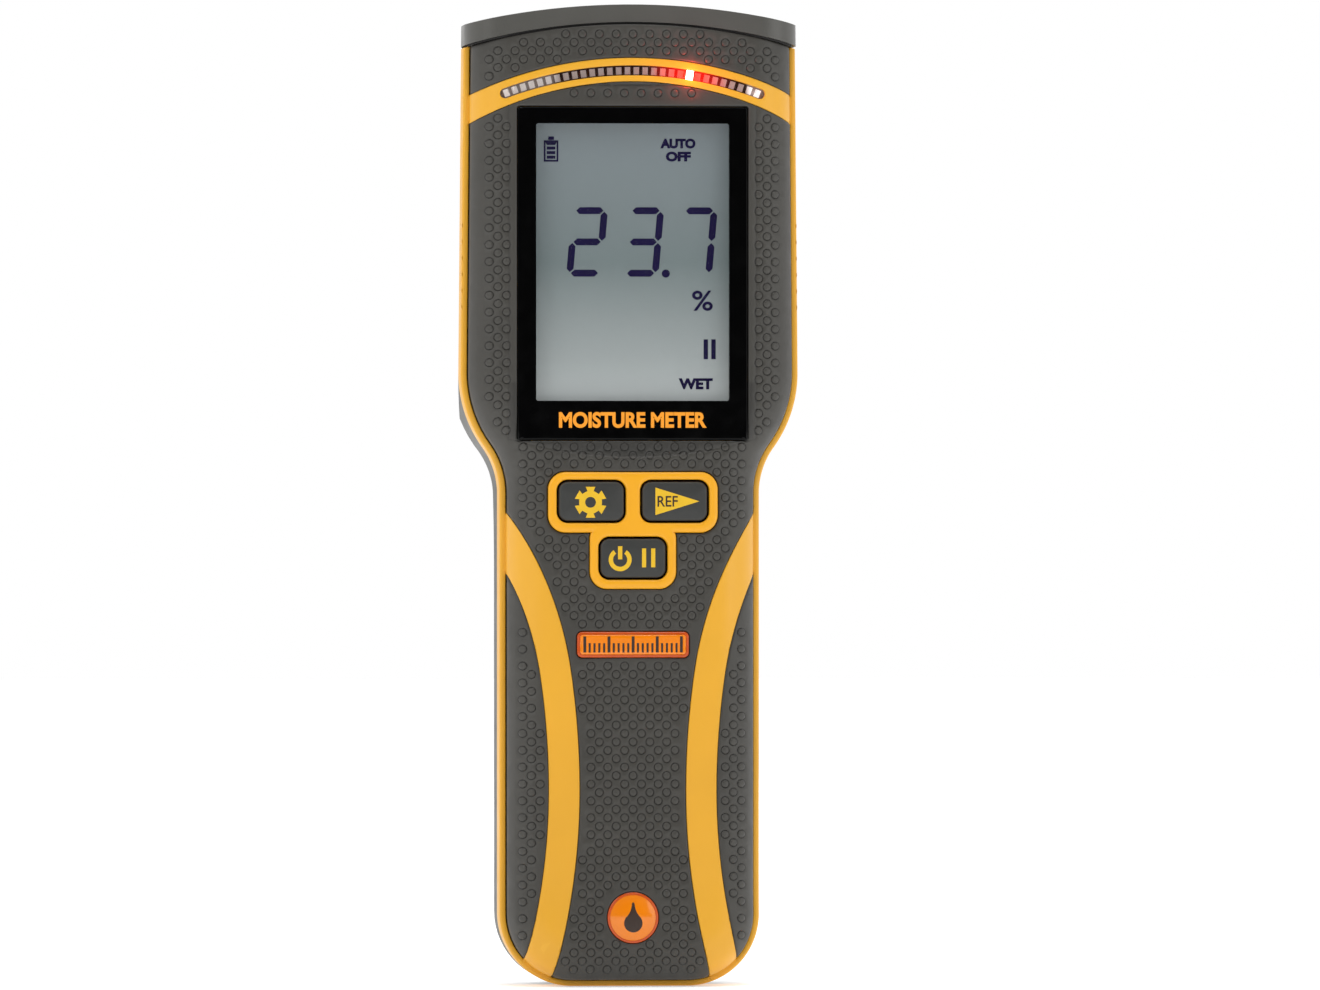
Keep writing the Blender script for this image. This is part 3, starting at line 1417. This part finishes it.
def banded(name, letter, stops, rough, **more):
    """A colour that changes along one axis, from (millimetres, colour) stops."""
    finish = Finish(name)
    first, last = stops[0][0], stops[-1][0]
    ramp = finish.nodes.new("ShaderNodeValToRGB")
    finish.links.new(finish.span(finish.axis(letter), first * MM, last * MM, 0, 1), ramp.inputs[0])
    elements = ramp.color_ramp.elements
    while len(elements) < len(stops):
        elements.new(0.5)
    for element, (place, colour) in zip(elements, stops):
        element.position = (place - first) / (last - first)
        element.color = colour
    finish.join(ramp.outputs[0], "Base Color")
    finish.ramp = ramp.outputs[0]
    finish.join(finish.span(finish.noise(5), 0.3, 0.7, rough - 0.03, rough + 0.03), "Roughness")
    return finish.set(**more)


def make_finishes():
    """Every finish by a short name: most are moulded with a grain, depth, patch size and drift."""
    finishes = {
        "yellow": moulded("shell_yellow_plastic", linear(222, 162, 33), 0.42, 0.25, 0.006, 30, 0.04, 0.1),
        "rubber": moulded("grip_soft_rubber", linear(55, 53, 48), 0.5, 0.22, 0.02, 16, 0.09, 0.1, 0.85),
        "dark": moulded("case_dark_plastic", linear(62, 61, 57), 0.5, 0.3, 0.02, 25, 0.06, 0.12),
        "cap": moulded("end_cap_plastic", linear(70, 69, 65), 0.36, 0.3, 0.008, 40, 0.02, 0.1),
        "door": moulded("door_plastic", linear(66, 65, 62), 0.52, 0.3, 0.025, 20, 0.06, 0.15),
        "bezel": moulded("bezel_yellow_plastic", linear(231, 162, 4), 0.42, 0.25, 0.006, 20, 0.03, 0.05),
        "symbol": moulded("symbol_yellow_ink", linear(222, 178, 24), 0.5, 0.2, 0.005, 3, 0.04),
        "key": moulded("key_rubber", linear(44, 45, 43), 0.5, 0.2, 0.012, 8, 0.05, 0.1),
        "ink": moulded("dark_ink", linear(44, 26, 14), 0.5, 0.2, 0.004, 3, 0.05),
        "lens": moulded("lens_black_print", (0.0006, 0.0006, 0.0007, 1), 0.1, 0.4, 0.0, 20, 0.02,
                        Specular_IOR_Level=0.12),
        "amber": moulded("amber_print", linear(238, 150, 30), 0.35, 0.3, 0.002, 4, 0.05),
        "lcd_ink": moulded("lcd_ink", linear(17, 6, 58), 0.6, 0.3, 0.0, 6, 0.05, Specular_IOR_Level=0.15),
        "badge": moulded("badge_amber_resin", linear(232, 126, 1), 0.14, 0.4, 0.0, 6, 0.03, Coat_Weight=0.2),
        "badge_rim": moulded("badge_rim_resin", linear(190, 72, 1), 0.2, 0.4, 0.0, 4, 0.06),
        "seal": moulded("seal_rubber", linear(30, 28, 27), 0.7, 0.2, 0.01, 8, 0.08),
        "mat": moulded("key_mat_silicone", linear(62, 24, 22), 0.6, 0.2, 0.01, 8, 0.08),
        "board": moulded("board_green_mask", linear(28, 92, 48), 0.35, 0.4, 0.01, 4, 0.15, Coat_Weight=0.3),
        "scale_board": scale_board_finish(),
        "package": package_finish(),
        "lit": Finish("lit_package").set(Base_Color=(1, 0.6, 0.5, 1), Emission_Color=(1, 0.62, 0.5, 1),
                                         Emission_Strength=11.0),
        "gold": moulded("pin_gold", linear(214, 174, 92), 0.25, 0.3, 0.003, 3, 0.05, Metallic=1.0),
        "chip": moulded("chip_black_epoxy", linear(34, 34, 36), 0.45, 0.15, 0.01, 3, 0.1),
        "tin": moulded("shield_tin", linear(176, 178, 180), 0.3, 0.3, 0.006, 5, 0.05, Metallic=1.0),
        "white": moulded("connector_nylon", linear(222, 218, 204), 0.45, 0.3, 0.006, 6, 0.03),
        "steel": moulded("screw_steel", linear(150, 150, 152), 0.28, 0.2, 0.006, 4, 0.08, Metallic=1.0),
        "socket": moulded("socket_nickel", linear(186, 182, 172), 0.22, 0.2, 0.004, 4, 0.06, Metallic=1.0),
        "nickel": moulded("contact_nickel", linear(190, 188, 182), 0.25, 0.2, 0.004, 4, 0.06, Metallic=1.0),
        "lead": moulded("lead_sleeve", linear(150, 26, 24), 0.4, 0.3, 0.005, 8, 0.08),
        "diffuser": moulded("backlight_diffuser", linear(226, 230, 234), 0.5, 0.3, 0.002, 10, 0.02),
        "frame": moulded("lcd_frame_plastic", linear(38, 38, 40), 0.5, 0.25, 0.01, 10, 0.06),
        "zebra": moulded("zebra_strip", linear(110, 60, 60), 0.6, 0.2, 0.006, 2, 0.2),
        "switch": moulded("switch_dome_metal", linear(170, 168, 162), 0.3, 0.2, 0.004, 3, 0.08, Metallic=1.0),
    }
    cell_low, cell_high = low("battery_cells", "z"), high("battery_cells", "z")
    split = cell_low + (cell_high - cell_low) * 0.3
    steel, sleeve, band = linear(180, 180, 178), linear(62, 84, 104), linear(176, 182, 186)
    finishes["cell"] = banded("cell_sleeve", "z", [
        (cell_low, steel), (cell_low + 1.2, sleeve), (split, sleeve), (split + 0.05, band),
        (split + 3.0, band), (split + 3.05, sleeve), (cell_high - 2.4, sleeve), (cell_high - 2.3, steel),
        (cell_high, steel)],
        0.32, Metallic=0.4)
    top, bottom = VIEW_Z + VIEW_HALF, VIEW_Z - VIEW_HALF
    finishes["lcd"] = banded("lcd_glass_reflector", "z", [
        (bottom, linear(172, 178, 178)), (bottom + 9, linear(148, 155, 155)), (VIEW_Z, linear(105, 117, 118)),
        (top, linear(118, 127, 131))], 0.45, Emission_Strength=0.28)
    finishes["lcd"].join(finishes["lcd"].ramp, "Emission Color")
    for name, alpha, tint in (("clear", 0.07, (0.02, 0.02, 0.02, 1)),
                              ("smoked", 0.18, (0.03, 0.008, 0.005, 1))):
        clear = moulded(name + "_acrylic", tint, 0.06, 0.4, 0.0, 20, 0.0)
        clear.set(Alpha=alpha)
        clear.material.surface_render_method = "BLENDED"
        finishes[name] = clear
    return {key: value.material for key, value in finishes.items()}


def near_lit(finish):
    """1 at the lit package and 0 where its red light ends, some way along the scale."""
    node = finish.nodes.new("ShaderNodeMath")
    node.operation = "SUBTRACT"
    finish.links.new(finish.axis("x"), node.inputs[0])
    node.inputs[1].default_value = light_place(LIT)[0] * MM
    away = finish.nodes.new("ShaderNodeMath")
    away.operation = "ABSOLUTE"
    finish.links.new(node.outputs[0], away.inputs[0])
    return finish.span(away.outputs[0], 0.0, 8.5 * MM, 1.0, 0.0)


def bright_ends(finish, colour, left, right):
    """A colour that turns paler towards both ends of the scale."""
    place = finish.axis("x")
    colour = finish.mix(finish.span(place, -16.5 * MM, -15.0 * MM, 1, 0), colour, left)
    return finish.mix(finish.span(place, 23.6 * MM, 24.2 * MM, 0, 1), colour, right)


def scale_board_finish():
    """The dark board behind the packages, red round the lit one."""
    finish = Finish("scale_board_mask")
    glow = near_lit(finish)
    colour = finish.mix(finish.noise(3.0), linear(46, 22, 14), linear(60, 30, 20))
    colour = bright_ends(finish, colour, linear(176, 170, 168), linear(196, 180, 176))
    finish.join(finish.mix(glow, colour, linear(170, 8, 4)), "Base Color")
    finish.join(finish.mix(glow, (0, 0, 0, 1), (1.0, 0.015, 0.008, 1)), "Emission Color")
    return finish.set(Emission_Strength=1.0, Roughness=0.5)


def package_finish():
    """White packages that take the red light of the lit one beside them."""
    finish = Finish("light_package_white")
    glow = near_lit(finish)
    white = finish.mix(finish.noise(1.2), linear(214, 208, 206), linear(238, 232, 230))
    finish.join(finish.mix(glow, white, linear(240, 60, 40)), "Base Color")
    own = bright_ends(finish, (0.16, 0.13, 0.13, 1), (0.42, 0.41, 0.41, 1), (0.9, 0.88, 0.88, 1))
    finish.join(finish.mix(glow, own, (1.0, 0.05, 0.03, 1)), "Emission Color")
    return finish.set(Emission_Strength=1.1, Roughness=0.35)


# which CAD nodes and pieces each finish covers
SURFACES = {
    "cell": "battery_cells",
    "door": "battery_door",
    "lead": "battery_leads",
    "dark": "battery_tray rear_shell top_deck",
    "chip": "board_chips buzzer",
    "white": "board_connector",
    "steel": "case_screws",
    "seal": "case_seal end_seal lens_seal",
    "nickel": "contact_plates contact_spring_coils",
    "cap": "end_cap",
    "switch": "key_switches",
    "mat": "keypad_mat",
    "diffuser": "lcd_backlight",
    "zebra": "lcd_connectors",
    "frame": "lcd_frame",
    "board": "main_board",
    "socket": "probe_jack",
    "rubber": "rear_grip front_grip_skin rear_grip_studs",
    "scale_board": "scale_board",
    "gold": "scale_header",
    "package": "scale_lights",
    "tin": "wireless_module",
    "yellow": "front_shell_skin front_shell_wall side_ribs",
    "bezel": "keypad_bezel_frame",
    "key": "setup_button_cap reference_button_cap power_button_cap",
    "symbol": "setup_symbol reference_symbol power_symbol",
    "ink": "reference_word name_badge_ticks round_badge_drop",
    "lens": "display_lens_border",
    "clear": "display_lens_window",
    "lcd": "lcd_panel",
    "lcd_ink": "lcd_marks lcd_auto lcd_off lcd_percent lcd_wet",
    "amber": "lens_title",
    "smoked": "scale_window_strip",
    "lit": "scale_lit",
    "badge_rim": "name_badge_rim round_badge_rim",
    "badge": "name_badge_face round_badge_face",
}
BEVELS = {"rear_shell": 0.35, "rear_grip": 0.3, "battery_door": 0.3,
          "end_cap": 0.6, "top_deck": 0.25, "case_screws": 0.12}


def dress():
    """Gives every shown piece its finish, and softens the edges of the CAD pieces that stay."""
    finishes = make_finishes()
    for finish, names in SURFACES.items():
        for name in names.split():
            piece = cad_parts.get(name) or bpy.data.objects[name]
            if not piece.data.materials:
                piece.data.materials.append(None)
            for slot in piece.material_slots:
                slot.material = finishes[finish]
    for name, width in BEVELS.items():
        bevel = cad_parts[name].modifiers.new("edge", "BEVEL")
        bevel.width = width * MM
        bevel.segments = 3
        bevel.limit_method = "ANGLE"
        bevel.angle_limit = math.radians(32)
        bevel.harden_normals = True


# ------------------------------------------------------------------ studio
def studio():
    """A white surround seen by the camera, dimmer in front, with four soft lights and a floor."""
    world = bpy.data.worlds.new("studio")
    bpy.context.scene.world = world
    world.use_nodes = True
    nodes, links = world.node_tree.nodes, world.node_tree.links
    background = nodes["Background"]
    place = nodes.new("ShaderNodeTexCoord")
    split = nodes.new("ShaderNodeSeparateXYZ")
    links.new(place.outputs["Generated"], split.inputs[0])
    ramp = nodes.new("ShaderNodeMapRange")
    for key, value in (("From Min", -0.95), ("From Max", 0.1), ("To Min", 0.1), ("To Max", 1.0)):
        ramp.inputs[key].default_value = value
    links.new(split.outputs["Y"], ramp.inputs["Value"])
    path = nodes.new("ShaderNodeLightPath")
    seen = nodes.new("ShaderNodeMix")
    links.new(path.outputs["Is Camera Ray"], seen.inputs[0])
    links.new(ramp.outputs[0], seen.inputs[2])
    seen.inputs[3].default_value = 1.0
    links.new(seen.outputs[0], background.inputs["Strength"])
    background.inputs["Color"].default_value = (1, 1, 1, 1)
    for name, place, size, power in (
            ("key", (-0.95, -0.75, 0.75), 0.8, 4.6), ("fill", (1.0, -0.75, 0.4), 0.9, 3.0),
            ("top", (0.1, -0.55, 1.35), 0.7, 5.0), ("rear", (0.4, 1.4, 0.8), 1.2, 8.0)):
        data = bpy.data.lights.new(name, "AREA")
        data.shape = "DISK"
        data.size = size
        data.energy = power
        lamp = bpy.data.objects.new(name, data)
        bpy.context.scene.collection.objects.link(lamp)
        lamp.location = place
        lamp.visible_camera = False
        lamp.rotation_euler = (Vector((0, 0, 0.1)) - Vector(place)).to_track_quat("-Z", "Y").to_euler()
    # a tiny lamp in front of the lit package, for its halo
    glow = bpy.data.lights.new("scale_glow", "POINT")
    glow.energy = 0.003
    glow.color = (1, 0.06, 0.02)
    glow.shadow_soft_size = 0.0008
    lamp = bpy.data.objects.new("scale_glow", glow)
    bpy.context.scene.collection.objects.link(lamp)
    x, z, _ = light_place(LIT)
    lamp.location = (x * MM, (low("scale_window", "y") - 1.6) * MM, z * MM)
    bpy.ops.mesh.primitive_plane_add(size=8, location=(0, 0, 0))
    floor = bpy.context.object
    floor.name = "floor"
    finish = Finish("floor_paper")
    finish.join(finish.mix(finish.noise(60), (0.86, 0.86, 0.86, 1), (0.9, 0.9, 0.9, 1)), "Base Color")
    finish.set(Roughness=0.9, Emission_Color=(1, 1, 1, 1), Emission_Strength=0.35)
    floor.data.materials.append(finish.material)


def camera():
    """A long lens, level with the middle of the meter and a little to its left."""
    turn, distance, shown = math.radians(-4.7), 2.4, 0.2730
    aim_height, aside = 0.1017, 0.0059
    lens = bpy.data.cameras.new("camera")
    lens.sensor_width = 36
    lens.lens = 36 * distance / shown
    lens.clip_start, lens.clip_end = 0.01, 20
    view = bpy.data.objects.new("camera", lens)
    bpy.context.scene.collection.objects.link(view)
    right = Vector((math.cos(turn), math.sin(turn), 0))
    back = Vector((math.sin(turn), -math.cos(turn), 0))
    centre = Vector((0, -0.013, aim_height)) + right * aside
    view.location = centre + back * distance
    view.rotation_euler = (-back).to_track_quat("-Z", "Y").to_euler()
    bpy.context.scene.camera = view


build_front()
build_floor_plate()
build_ribs()
build_rear_dots()
build_springs()
build_bezel()
for key_node, key_body in KEYS.items():
    build_key(key_node, key_body)
build_symbols()
build_lens()
build_lcd_panel()
build_lcd_marks()
lettering("lens_title", "MOISTURE METER", 0, 117.2, 30.6, 3.3, low("display_lens", "y") - 0.02, 0.06, "case",
          0.18)
build_scale()
name_badge()
round_badge()
dress()
studio()
camera()
bpy.context.scene.view_settings.view_transform = "Standard"
